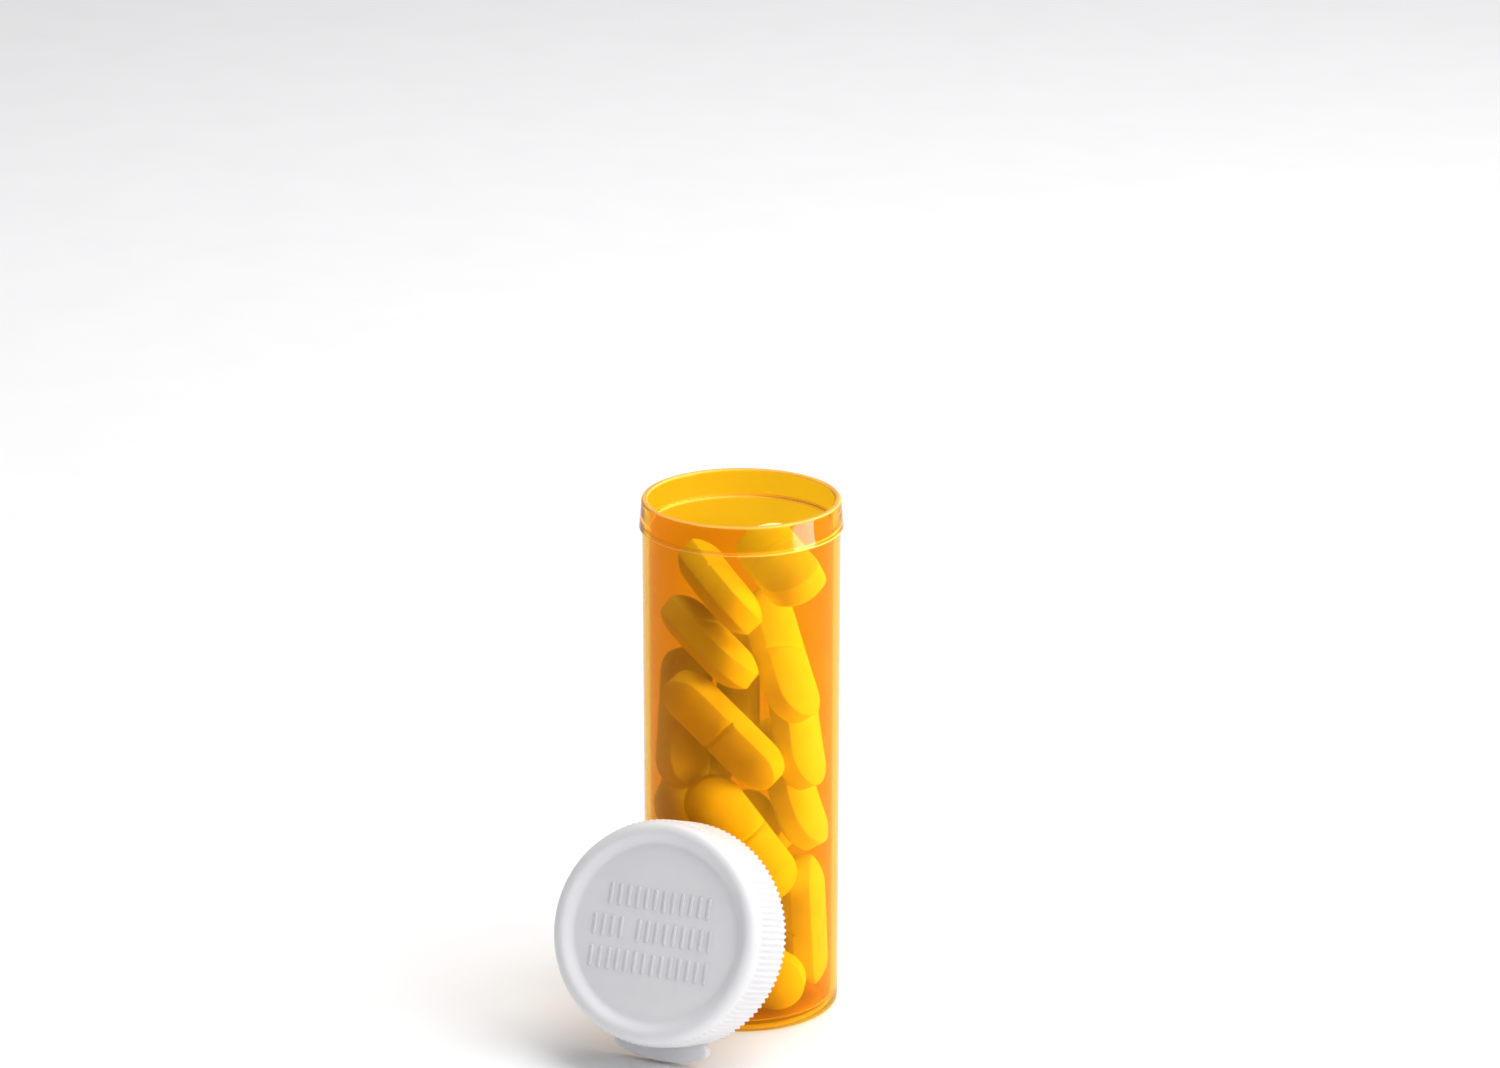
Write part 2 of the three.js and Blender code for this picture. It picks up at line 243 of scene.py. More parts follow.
def paper():
    """Matt white paper: no gloss, with a very slight unevenness from its fibres."""
    material, tree = new_material("matt_white_paper")
    place = add_node(tree, "ShaderNodeTexCoord").outputs["Object"]
    fibre = add_node(tree, "ShaderNodeTexNoise", {"Vector": place, "Scale": 60.0, "Detail": 4.0})
    tone = add_node(
        tree,
        "ShaderNodeMix",
        {"Factor": fibre.outputs["Fac"], "A": srgb("#F6F6F6"), "B": srgb("#FCFCFC")},
        data_type="RGBA",
    )
    shader = add_node(
        tree,
        "ShaderNodeBsdfPrincipled",
        {"Base Color": tone.outputs["Result"], "Roughness": 0.9, "Specular IOR Level": 0.1},
    )
    add_node(tree, "ShaderNodeOutputMaterial", {"Surface": shader.outputs["BSDF"]})
    return material


def soft_box(name, place, aim, size, power, colour):
    """A rectangular area light that faces a point. size is its width and height."""
    light = bpy.data.lights.new(name, "AREA")
    light.shape = "RECTANGLE"
    light.size, light.size_y = size
    light.energy = power
    light.color = srgb(colour)[:3]
    lamp = bpy.data.objects.new(name, light)
    lamp.location = place
    lamp.rotation_mode = "QUATERNION"
    lamp.rotation_quaternion = (Vector(aim) - Vector(place)).to_track_quat("-Z", "Y")
    bpy.context.scene.collection.objects.link(lamp)
    return lamp


def light_only(lamp, pieces):
    """Lets a lamp reach these pieces and nothing else."""
    receivers = bpy.data.collections.new("reached_by_" + lamp.name)
    for piece in pieces:
        receivers.objects.link(piece)
    lamp.light_linking.receiver_collection = receivers


circle = [
    (
        FLOOR_RADIUS * math.cos(2 * math.pi * i / FLOOR_SIDES),
        FLOOR_RADIUS * math.sin(2 * math.pi * i / FLOOR_SIDES),
        vial_low.z,
    )
    for i in range(FLOOR_SIDES)
]
floor = mesh_object("floor", circle, [list(range(FLOOR_SIDES))], paper())

world = bpy.data.worlds.new("studio")
world.use_nodes = True
world.node_tree.nodes["Background"].inputs["Color"].default_value = srgb(SKY_COLOUR)
world.node_tree.nodes["Background"].inputs["Strength"].default_value = SKY_STRENGTH
bpy.context.scene.world = world
bpy.context.scene.view_settings.view_transform = "Standard"

middle = (0.0, 0.0, vial_height / 2)
soft_box("overhead_box", (0.15, 0.25, 0.8), (0.0, 0.05, 0.0), (0.9, 0.7), 7.4, "#FFFFFF")
soft_box("right_box", (0.40, -0.10, 0.25), middle, (0.3, 0.4), 0.85, "#FFFFFF")
low_aim = (0.0, 0.0, LOW_PLACE[2])
low_box = soft_box("low_box", LOW_PLACE, low_aim, LOW_SIZE, 2.5, "#FFFFFF")
tablet_box = soft_box("tablet_box", LOW_PLACE, low_aim, LOW_SIZE, 1.15, "#FFFFFF")
print("floor, sky and four soft boxes")

# %% [markdown]
# ## Amber polypropylene
# The vial is injection-moulded polypropylene with an amber dye that keeps light from spoiling the
# tablets. It isn't as clear as glass: crystals in the plastic scatter a little, so what touches
# the wall is crisp and what lies deeper turns soft. The flow of the melt leaves faint upright
# lines, which only the gloss shows.
#
# A Principled shader with almost full transmission does this: its colour is the dye, its roughness
# the haze, and a small matt share is the plastic's own milkiness. Light that gets caught in the
# wall comes out where the wall ends, so the rim, the ledge and the foot glow. That glow is painted:
# a mask by height gives those places more of the matt share, in a paler colour.
#
# Sunlight through glass is slow to compute and noisy. So light rays go straight through a plain
# Transparent shader, which lights the tablets evenly, and soft bounces through a deeper one, which
# makes their shaded sides orange.

# %% Amber polypropylene
DYE = "#EAB016"
DYE_FOR_LIGHT = "#FFFAE6"
DYE_FOR_BOUNCES = "#F4DC88"
# the paler colour of the painted glow on the rim, the ledge and the foot
PAINTED_GLOW = "#FFB860"
WALL_BEND = 1.15  # less than the plastic's own 1.49: a thin wall hardly bends what is behind it
CLEAR_SHARE = 0.95  # the rest is milkiness
# the clear share where the glow is painted
PAINTED_GLOW_CLEAR_SHARE = 0.3
FLOW_LINE_WIDTH = 0.7 * MM
FLOW_LINE_LENGTH = 45 * MM
WAVE_SIZE = 9 * MM
FLOW_LINE_DEPTH = 0.004 * MM
NECK_HEIGHT = 4.3 * MM
# the bands where the glow is painted
PAINTED_GLOW_BANDS = [  # middle height, half the band's width, strength
    (vial_height, 0.4 * MM, 1.0),
    (vial_height - NECK_HEIGHT, 0.35 * MM, 0.8),
    (0.0, 1.6 * MM, 0.35),
]


def painted_glow_mask(tree, place):
    """Mask of the painted glow: 1 where the wall ends at the rim, the ledge and the foot, and 0
    elsewhere.
    """
    height = add_node(tree, "ShaderNodeSeparateXYZ", {"Vector": place}).outputs["Z"]
    total = None
    for middle_height, half_width, strength in PAINTED_GLOW_BANDS:
        away = add_node(
            tree, "ShaderNodeMath", {0: height, 1: middle_height}, operation="SUBTRACT"
        ).outputs["Value"]
        away = add_node(tree, "ShaderNodeMath", {0: away}, operation="ABSOLUTE").outputs["Value"]
        band = add_node(
            tree,
            "ShaderNodeMapRange",
            {"Value": away, "From Max": half_width, "To Min": strength, "To Max": 0.0},
            interpolation_type="SMOOTHSTEP",
        ).outputs["Result"]
        if total is None:
            total = band
        else:
            total = add_node(
                tree, "ShaderNodeMath", {0: total, 1: band}, operation="MAXIMUM"
            ).outputs["Value"]
    return total


def flow_marks(tree, place):
    """Heights of the faint upright flow lines, and the broad waves of the moulded wall."""
    scale = (1 / FLOW_LINE_WIDTH, 1 / FLOW_LINE_WIDTH, 1 / FLOW_LINE_LENGTH)
    drawn = add_node(tree, "ShaderNodeMapping", {"Vector": place, "Scale": scale})
    lines = add_node(
        tree, "ShaderNodeTexNoise", {"Vector": drawn.outputs["Vector"], "Scale": 1.0, "Detail": 2.0}
    )
    waves = add_node(
        tree, "ShaderNodeTexNoise", {"Vector": place, "Scale": 1 / WAVE_SIZE, "Detail": 1.0}
    )
    return lines.outputs["Fac"], waves.outputs["Fac"]


def amber_polypropylene():
    """Clear amber, slightly hazy, glossy, with faint upright flow lines and a painted glow at its
    edges.
    """
    material, tree = new_material("amber_polypropylene_moulded")
    place = add_node(tree, "ShaderNodeTexCoord").outputs["Object"]
    lines, waves = flow_marks(tree, place)
    relief = add_node(tree, "ShaderNodeMath", {0: lines, 1: waves}, operation="ADD")
    bump = add_node(
        tree,
        "ShaderNodeBump",
        {"Height": relief.outputs["Value"], "Distance": FLOW_LINE_DEPTH, "Strength": 0.6},
    )
    haze = add_node(
        tree, "ShaderNodeMapRange", {"Value": waves, "To Min": 0.045, "To Max": 0.085}
    )
    # painted glow: the dye turns paler and more matt at the rim, the ledge and the foot
    painted_glow = painted_glow_mask(tree, place)
    tone = add_node(
        tree,
        "ShaderNodeMix",
        {"Factor": painted_glow, "A": srgb(DYE), "B": srgb(PAINTED_GLOW)},
        data_type="RGBA",
    )
    clear_share = add_node(
        tree,
        "ShaderNodeMapRange",
        {"Value": painted_glow, "To Min": CLEAR_SHARE, "To Max": PAINTED_GLOW_CLEAR_SHARE},
    )
    plastic = add_node(
        tree,
        "ShaderNodeBsdfPrincipled",
        {
            "Base Color": tone.outputs["Result"],
            "Transmission Weight": clear_share.outputs["Result"],
            "IOR": WALL_BEND,
            "Specular IOR Level": 0.35,
            "Roughness": haze.outputs["Result"],
            "Normal": bump.outputs["Normal"],
        },
    )
    path = add_node(tree, "ShaderNodeLightPath")
    passing = add_node(
        tree,
        "ShaderNodeMix",
        {
            "Factor": path.outputs["Is Diffuse Ray"],
            "A": srgb(DYE_FOR_LIGHT),
            "B": srgb(DYE_FOR_BOUNCES),
        },
        data_type="RGBA",
    )
    shortcut = add_node(tree, "ShaderNodeBsdfTransparent", {"Color": passing.outputs["Result"]})
    carries_light = add_node(
        tree,
        "ShaderNodeMath",
        {0: path.outputs["Is Shadow Ray"], 1: path.outputs["Is Diffuse Ray"]},
        operation="MAXIMUM",
    )
    surface = add_node(
        tree,
        "ShaderNodeMixShader",
        {0: carries_light.outputs["Value"], 1: plastic.outputs["BSDF"], 2: shortcut.outputs["BSDF"]},
    )
    add_node(tree, "ShaderNodeOutputMaterial", {"Surface": surface.outputs["Shader"]})
    return material


amber = amber_polypropylene()
print("material:", amber.name)

# %% [markdown]
# ## The vial
# One moulding, turned about its axis: a foot ring, a straight wall with a little draft, a ledge
# that the cap snaps under, and a neck up to the rounded rim. A lathe outline is the natural way to
# make it. Every corner is an arc, because light runs along a rounded edge as a bright line, and
# short helper strips beside the arcs keep the long walls flat where they are shaded smooth.

# %% Turning
TURN_SEGMENTS = 256
STRIP = 0.08 * MM


def arc(radius, height, bend, start, end, steps=8):
    """Points of an arc in the lathe outline, about (radius, height), from start to end degrees."""
    angles = np.radians(np.linspace(start, end, steps + 1))
    return [(radius + bend * math.cos(a), height + bend * math.sin(a)) for a in angles]


def with_strips(outline):
    """The outline with a point added just inside each end of its long straight runs."""
    result = [outline[0]]
    for (r0, z0), (r1, z1) in zip(outline, outline[1:]):
        run = math.hypot(r1 - r0, z1 - z0)
        if run > 5 * STRIP:
            share = STRIP / run
            result.append((r0 + (r1 - r0) * share, z0 + (z1 - z0) * share))
            result.append((r1 - (r1 - r0) * share, z1 - (z1 - z0) * share))
        result.append((r1, z1))
    return result


def turned(name, outline, material, segments=TURN_SEGMENTS):
    """A closed body from an outline of (radius, height) that starts and ends on the axis."""
    points = []
    faces = []
    outline = with_strips(outline)
    for radius, height in outline:
        for i in range(segments):
            angle = 2 * math.pi * i / segments
            points.append((radius * math.cos(angle), radius * math.sin(angle), height))
    for row in range(len(outline) - 1):
        for i in range(segments):
            following = (i + 1) % segments
            low, high = row * segments, (row + 1) * segments
            faces.append((low + i, low + following, high + following, high + i))
    return mesh_object(name, points, faces, material)


# %% The vial's outline
VIAL_WALL = 1.0 * MM
VIAL_FLOOR = 1.3 * MM
BEAD_PROUD = 0.35 * MM
LEDGE_STEP = 0.45 * MM
LEDGE_ROUND = 0.12 * MM
BODY_TAPER = 0.2 * MM
RIM_ROUND = 0.35 * MM
BASE_ROUND = 1.0 * MM
FLOOR_ROUND = 1.2 * MM
STAND_RING = 1.6 * MM
RING_ROUND = 0.15 * MM
BASE_RECESS = 0.4 * MM
BASE_PAD = 4.0 * MM
GATE_RADIUS = 0.9 * MM  # the mark where the plastic ran in
GATE_DEPTH = 0.25 * MM


def vial_outline():
    """Up the outside from the middle of the underside, over the rim, and down the inside."""
    rim = ledge_radius - BEAD_PROUD
    mouth = rim - VIAL_WALL
    ledge = vial_height - NECK_HEIGHT
    body_top = ledge_radius - LEDGE_STEP
    base = body_top - BODY_TAPER
    stand_outer = base - BASE_ROUND
    stand_inner = stand_outer - STAND_RING
    floor_radius = base - VIAL_WALL
    outside = [
        (0, GATE_DEPTH),
        (GATE_RADIUS / 2, GATE_DEPTH),
        (GATE_RADIUS, 0),
        *arc(BASE_PAD - RING_ROUND, RING_ROUND, RING_ROUND, -90, -30, 3),
        (BASE_PAD + BASE_RECESS, BASE_RECESS),
        (stand_inner - BASE_RECESS, BASE_RECESS),
        *arc(stand_inner + RING_ROUND, RING_ROUND, RING_ROUND, 210, 270, 3),
        *arc(stand_outer, BASE_ROUND, BASE_ROUND, -90, 0),
        (body_top, ledge - 2 * LEDGE_ROUND),
        *arc(ledge_radius - LEDGE_ROUND, ledge, LEDGE_ROUND, -90, 0, 5),
        *arc(rim - RIM_ROUND, vial_height - RIM_ROUND, RIM_ROUND, 0, 90),
    ]
    inside = [
        *arc(mouth + RIM_ROUND, vial_height - RIM_ROUND, RIM_ROUND, 90, 180),
        (body_top - VIAL_WALL, ledge - NECK_HEIGHT / 2),
        *arc(floor_radius - FLOOR_ROUND, VIAL_FLOOR + FLOOR_ROUND, FLOOR_ROUND, 0, -90),
        (0, VIAL_FLOOR),
    ]
    return outside + inside


vial = turned("vial_moulding", vial_outline(), amber)
hand_over(vial, "vial", "amber_polypropylene", "vial_body")

light_only(low_box, [vial])

# %% [markdown]
# ## White polyethylene
# The cap is low-density polyethylene, a waxy plastic that light enters a little way before it
# comes back out. That softens its shadows and warms its thin edges. The mould was finely
# sand-blasted, so the skin has a satin grain, and its gloss varies a little in broad patches.

# %% White polyethylene
GRAIN = 0.12 * MM
GRAIN_DEPTH = 0.006 * MM
CLOUD = 6 * MM
LIGHT_REACH = 1.2 * MM


def white_polyethylene():
    """Waxy white with a satin grain. Subsurface light gives the soft look of thin plastic."""
    material, tree = new_material("white_polyethylene_moulded")
    place = add_node(tree, "ShaderNodeTexCoord").outputs["Object"]
    grain = add_node(
        tree, "ShaderNodeTexNoise", {"Vector": place, "Scale": 1 / GRAIN, "Detail": 2.0}
    )
    cloud = add_node(
        tree, "ShaderNodeTexNoise", {"Vector": place, "Scale": 1 / CLOUD, "Detail": 3.0}
    )
    tone = add_node(
        tree,
        "ShaderNodeMix",
        {"Factor": cloud.outputs["Fac"], "A": srgb("#E5E5E8"), "B": srgb("#EEEEF0")},
        data_type="RGBA",
    )
    sheen = add_node(
        tree,
        "ShaderNodeMapRange",
        {"Value": cloud.outputs["Fac"], "To Min": 0.36, "To Max": 0.52},
    )
    bump = add_node(
        tree,
        "ShaderNodeBump",
        {"Height": grain.outputs["Fac"], "Distance": GRAIN_DEPTH, "Strength": 0.5},
    )
    plastic = add_node(
        tree,
        "ShaderNodeBsdfPrincipled",
        {
            "Base Color": tone.outputs["Result"],
            "Roughness": sheen.outputs["Result"],
            "IOR": 1.51,
            "Subsurface Weight": 0.35,
            "Subsurface Radius": (1.0, 0.9, 0.8),
            "Subsurface Scale": LIGHT_REACH,
            "Normal": bump.outputs["Normal"],
        },
    )
    add_node(tree, "ShaderNodeOutputMaterial", {"Surface": plastic.outputs["BSDF"]})
    return material


white = white_polyethylene()
print("material:", white.name)

# %% [markdown]
# ## The cap
# The cap is one moulding as well: a dished face inside a rounded ring, a skirt with fine upright
# ribs for grip, a snap ring inside, and a plug that seals the mouth. The smooth part is turned
# like the vial. The ribs follow a rule - so many round the skirt, all alike - so a Geometry Nodes
# tree moves the skirt's own skin in and out. Nothing is stuck on, and the ribs run out at the top
# as moulded ones do. Changing their number is one input of the tree.

# %% The cap's outline
CAP_HEIGHT = 10.8 * MM
CAP_TOP = 1.2 * MM
RING_WIDTH = 2.8 * MM
RING_SLOPE = 1.2 * MM
DISH_SLOPE = 2.0 * MM  # the same slope, eased out into the face
EDGE_ROUND = 1.5 * MM
SKIRT_WALL = 1.0 * MM
SKIRT_CLEARANCE = 0.3 * MM
SNAP_PROUD = 0.6 * MM
SNAP_HEIGHT = 1.6 * MM
SNAP_GAP = 0.3 * MM
PLUG_DEPTH = 2.2 * MM
PLUG_WALL = 0.9 * MM
PLUG_CLEARANCE = 0.2 * MM
RIB_COUNT = 112
RIB_DEPTH = 0.3 * MM
RIB_TOP_MARGIN = 1.7 * MM
RIB_SEGMENTS = 8  # faces round the skirt for each rib

skirt_inner = ledge_radius + SKIRT_CLEARANCE
skirt_outer = skirt_inner + SKIRT_WALL
rib_outer = skirt_outer + RIB_DEPTH
face_radius = skirt_outer - RING_WIDTH
seat_height = CAP_FACE_HEIGHT - CAP_TOP


def cap_outline():
    """From the middle of the inside, down the plug and the skirt, and up over the ring."""
    plug_outer = ledge_radius - BEAD_PROUD - VIAL_WALL - PLUG_CLEARANCE
    snap_top = seat_height - NECK_HEIGHT - SNAP_GAP
    snap_inner = skirt_inner - SNAP_PROUD
    tip = PLUG_WALL / 3
    inside = [
        (0, seat_height),
        (plug_outer - PLUG_WALL, seat_height),
        *arc(plug_outer - PLUG_WALL + tip, seat_height - PLUG_DEPTH + tip, tip, 180, 270, 4),
        *arc(plug_outer - tip, seat_height - PLUG_DEPTH + tip, tip, 270, 360, 4),
        (plug_outer, seat_height),
        (skirt_inner, seat_height),
        (skirt_inner, snap_top),
        (snap_inner, snap_top - SNAP_PROUD),
        (skirt_inner, snap_top - SNAP_HEIGHT),
        (skirt_inner, 0),
    ]
    steps = 12
    wall_top = CAP_HEIGHT - EDGE_ROUND - 0.1 * MM
    wall = [(skirt_outer, wall_top * i / steps) for i in range(steps + 1)]
    ring = arc(skirt_outer - EDGE_ROUND, CAP_HEIGHT - EDGE_ROUND, EDGE_ROUND, 0, 90, 12)
    crest = face_radius + RING_SLOPE
    dish = []
    for i in range(1, steps + 1):
        share = i / steps
        fall = share * share * (3 - 2 * share)
        radius = crest - DISH_SLOPE * share
        dish.append((radius, CAP_HEIGHT - (CAP_HEIGHT - CAP_FACE_HEIGHT) * fall))
    return inside + wall + ring + [(crest, CAP_HEIGHT)] + dish + [(0, CAP_FACE_HEIGHT)]


# %% Ribs by a rule
SKIN_MARGIN = 0.02 * MM  # a point this near the skirt's radius belongs to its outer skin
RIB_PHASE = 0.375 * 2 * math.pi  # the first rib's place in its pitch, as on the CAD cap
RIB_FLANK = 0.6  # smaller makes the ribs' sides steeper


def rib_tree():
    """Geometry Nodes: pushes the skirt's skin out in rounded ribs between two heights."""
    tree = bpy.data.node_groups.new("skirt_ribs", "GeometryNodeTree")
    face = tree.interface
    face.new_socket("Geometry", in_out="INPUT", socket_type="NodeSocketGeometry")
    face.new_socket("Rib Count", in_out="INPUT", socket_type="NodeSocketFloat")
    face.new_socket("Rib Depth", in_out="INPUT", socket_type="NodeSocketFloat")
    face.new_socket("Skirt Radius", in_out="INPUT", socket_type="NodeSocketFloat")
    face.new_socket("Rib Top", in_out="INPUT", socket_type="NodeSocketFloat")
    face.new_socket("Fade", in_out="INPUT", socket_type="NodeSocketFloat")
    face.new_socket("Material", in_out="INPUT", socket_type="NodeSocketMaterial")
    face.new_socket("Geometry", in_out="OUTPUT", socket_type="NodeSocketGeometry")
    given = add_node(tree, "NodeGroupInput").outputs

    def maths(operation, first, second=0.0, third=0.0):
        values = {0: first, 1: second, 2: third}
        return add_node(tree, "ShaderNodeMath", values, operation=operation).outputs["Value"]

    place = add_node(tree, "GeometryNodeInputPosition").outputs["Position"]
    split = add_node(tree, "ShaderNodeSeparateXYZ", {"Vector": place}).outputs
    turn = maths("ARCTAN2", split["Y"], split["X"])
    phase = maths("MULTIPLY", turn, given["Rib Count"])
    wave = maths("COSINE", maths("SUBTRACT", phase, RIB_PHASE))
    tooth = add_node(
        tree,
        "ShaderNodeMapRange",
        {"Value": wave, "From Min": -RIB_FLANK, "From Max": RIB_FLANK},
        interpolation_type="SMOOTHSTEP",
    ).outputs["Result"]
    flat = add_node(tree, "ShaderNodeCombineXYZ", {"X": split["X"], "Y": split["Y"]})
    flat = flat.outputs["Vector"]
    radius = add_node(tree, "ShaderNodeVectorMath", {0: flat}, operation="LENGTH").outputs["Value"]
    on_skirt = maths("GREATER_THAN", radius, maths("SUBTRACT", given["Skirt Radius"], SKIN_MARGIN))
    full_height = maths("SUBTRACT", given["Rib Top"], given["Fade"])
    run_out = add_node(
        tree,
        "ShaderNodeMapRange",
        {"Value": split["Z"], "From Min": given["Rib Top"], "From Max": full_height},
        interpolation_type="SMOOTHSTEP",
    ).outputs["Result"]
    where = maths("MULTIPLY", on_skirt, run_out)
    push = maths("MULTIPLY", maths("MULTIPLY", tooth, given["Rib Depth"]), where)
    outward = add_node(tree, "ShaderNodeVectorMath", {0: flat}, operation="NORMALIZE")
    outward = outward.outputs["Vector"]
    offset = add_node(
        tree, "ShaderNodeVectorMath", {0: outward, "Scale": push}, operation="SCALE"
    ).outputs["Vector"]
    moved = add_node(
        tree, "GeometryNodeSetPosition", {"Geometry": given["Geometry"], "Offset": offset}
    )
    whole = add_node(tree, "GeometryNodeRealizeInstances", {"Geometry": moved.outputs["Geometry"]})
    painted = add_node(
        tree,
        "GeometryNodeSetMaterial",
        {"Geometry": whole.outputs["Geometry"], "Material": given["Material"]},
    )
    add_node(tree, "NodeGroupOutput", {"Geometry": painted.outputs["Geometry"]})
    return tree


def run_tree(piece, tree, values):
    """Adds the tree as a modifier and sets its named inputs, by each socket's identifier."""
    modifier = piece.modifiers.new(tree.name, "NODES")
    modifier.node_group = tree
    for socket in tree.interface.items_tree:
        if socket.in_out == "INPUT" and socket.name in values:
            modifier[socket.identifier] = values[socket.name]
    return modifier


cap = turned("cap_moulding", cap_outline(), white, RIB_COUNT * RIB_SEGMENTS)
run_tree(
    cap,
    rib_tree(),
    {
        "Rib Count": float(RIB_COUNT),
        "Rib Depth": RIB_DEPTH,
        "Skirt Radius": skirt_outer,
        "Rib Top": CAP_HEIGHT - RIB_TOP_MARGIN,
        "Fade": 0.5 * MM,
        "Material": white,
    },
)
as_plain_mesh(cap, white)
cap.data.transform(cap_place)
hand_over(cap, "cap", "white_polyethylene", "cap")

# %% [markdown]
# ## The thumb tab
# A short curved lip at the skirt's open end, for a thumb to push the cap off. Its plan is a band of
# a ring with round ends. It is drawn as an outline, given its thickness, and rounded all round by a
# Bevel modifier, because a moulded lip has no sharp edge.

# %% The thumb tab
TAB_WIDTH = 14.0 * MM
TAB_REACH = 2.15 * MM
TAB_THICKNESS = 1.8 * MM
TAB_ROUND = 0.55 * MM
TAB_STEPS = 24
TAB_END_STEPS = 10


def tab_plan():
    """The lip's outline seen from above: outer arc, round end, inner arc, round end."""
    reach = rib_outer + TAB_REACH
    root = skirt_outer - SKIRT_WALL / 2
    end_radius = (reach - skirt_outer) / 2
    middle_radius = reach - end_radius
    half = TAB_WIDTH / 2 / reach
    down = -math.pi / 2
    plan = []
    for i in range(TAB_STEPS + 1):
        angle = down - half + 2 * half * i / TAB_STEPS
        plan.append((reach * math.cos(angle), reach * math.sin(angle)))
    for side in (1, -1):
        tip = down + side * half
        centre = (middle_radius * math.cos(tip), middle_radius * math.sin(tip))
        for i in range(1, TAB_END_STEPS + 1):
            share = i / TAB_END_STEPS if side == 1 else 1 - i / TAB_END_STEPS
            angle = tip + side * math.pi * share
            bend = (end_radius * math.cos(angle), end_radius * math.sin(angle))
            plan.append((centre[0] + bend[0], centre[1] + bend[1]))
        if side == 1:
            for i in range(TAB_STEPS + 1):
                angle = down + half - 2 * half * i / TAB_STEPS
                plan.append((root * math.cos(angle), root * math.sin(angle)))
    return plan


def extruded(name, plan, thickness, material):
    """A plate with this plan, from height 0 up."""
    count = len(plan)
    points = [(x, y, 0.0) for x, y in plan] + [(x, y, thickness) for x, y in plan]
    sides = [(i, (i + 1) % count, count + (i + 1) % count, count + i) for i in range(count)]
    ends = [list(range(count)), list(range(count, 2 * count))]
    return mesh_object(name, points, ends + sides, material)


tab = extruded("cap_thumb_tab", tab_plan(), TAB_THICKNESS, white)
bevel = tab.modifiers.new("rounding", "BEVEL")
bevel.width = TAB_ROUND
bevel.segments = 5
bevel.limit_method = "ANGLE"
bevel.angle_limit = math.radians(50)
as_plain_mesh(tab, white)
tab.data.transform(cap_place)
hand_over(tab, "cap", "white_polyethylene")

# %% [markdown]
# ## Raised marks on the face
# The face carries low raised marks in three rows, moulded with the cap. Here they are plain short
# bars that say nothing: a fingertip finds the face by them. One bar is modelled, and a Geometry
# Nodes tree repeats it along a row; every row is the same tree with another count.

# %% Raised marks
BAR_WIDTH = 0.62 * MM
BAR_LENGTH = 3.3 * MM
BAR_PROUD = 0.17 * MM
BAR_PITCH = 1.45 * MM
ROW_PITCH = 4.8 * MM
MARK_ROWS = [  # height of the row above the middle, start of its first bar, bars in it
    (1, -8.0 * MM, 12),
    (0, -10.0 * MM, 4),
    (0, -2.75 * MM, 9),
    (-1, -9.9 * MM, 14),
]
BAR_STEPS = 6


def single_bar():
    """A low pillow: a stadium outline whose top rounds over to its rim."""
    half = BAR_WIDTH / 2
    reach = BAR_LENGTH / 2 - half
    rings = [(1.0, -0.3), (1.0, 0.25), (0.86, 0.7), (0.6, 0.94), (0.0, 1.0)]
    turns = [180 * i / BAR_STEPS for i in range(BAR_STEPS + 1)]
    spine = [(reach, turn) for turn in turns] + [(-reach, turn + 180) for turn in turns]
    points = []
    faces = []
    for share, lift in rings:
        for shift, degrees in spine:
            angle = math.radians(degrees)
            x = half * share * math.cos(angle)
            y = shift + half * share * math.sin(angle)
            points.append((x, y, BAR_PROUD * lift))
    count = len(spine)
    for row in range(len(rings) - 1):
        for i in range(count):
            following = (i + 1) % count
            low, high = row * count, (row + 1) * count
            faces.append((low + i, low + following, high + following, high + i))
    faces.append(list(range(count)))
    return points, faces


def row_tree():
    """Geometry Nodes: repeats the piece's own mesh along a straight row."""
    tree = bpy.data.node_groups.new("row_of_marks", "GeometryNodeTree")
    face = tree.interface
    face.new_socket("Geometry", in_out="INPUT", socket_type="NodeSocketGeometry")
    face.new_socket("Count", in_out="INPUT", socket_type="NodeSocketInt")
    face.new_socket("Start", in_out="INPUT", socket_type="NodeSocketVector")
    face.new_socket("Pitch", in_out="INPUT", socket_type="NodeSocketVector")
    face.new_socket("Material", in_out="INPUT", socket_type="NodeSocketMaterial")
    face.new_socket("Geometry", in_out="OUTPUT", socket_type="NodeSocketGeometry")
    given = add_node(tree, "NodeGroupInput").outputs
    line = add_node(
        tree,
        "GeometryNodeMeshLine",
        {"Count": given["Count"], "Start Location": given["Start"], "Offset": given["Pitch"]},
    )
    bars = add_node(
        tree,
        "GeometryNodeInstanceOnPoints",
        {"Points": line.outputs["Mesh"], "Instance": given["Geometry"]},
    )
    whole = add_node(tree, "GeometryNodeRealizeInstances", {"Geometry": bars.outputs["Instances"]})
    painted = add_node(
        tree,
        "GeometryNodeSetMaterial",
        {"Geometry": whole.outputs["Geometry"], "Material": given["Material"]},
    )
    add_node(tree, "NodeGroupOutput", {"Geometry": painted.outputs["Geometry"]})
    return tree


mark_tree = row_tree()
for number, (row, start, count) in enumerate(MARK_ROWS, 1):
    marks = mesh_object(f"cap_marks_{number}", *single_bar(), white)
    run_tree(
        marks,
        mark_tree,
        {
            "Count": count,
            "Start": (start, row * ROW_PITCH, CAP_FACE_HEIGHT),
            "Pitch": (BAR_PITCH, 0.0, 0.0),
            "Material": white,
        },
    )
    as_plain_mesh(marks, white)
    marks.data.transform(cap_place)
    hand_over(marks, "cap", "white_polyethylene")

# %% [markdown]
# ## Pressed powder
# A tablet is powder squeezed in a die. Close up its skin is a mosaic of fine grains in slightly
# different yellows, with tiny pits between them, and it has almost no shine. Two noises do this:
# one for the grains and one, broader, for the uneven filling of the die.

# %% Pressed powder
POWDER_GRAIN = 0.22 * MM  # drawn coarser than the real grain, to show at this distance
POWDER_PATCH = 2.5 * MM
PIT_DEPTH = 0.02 * MM


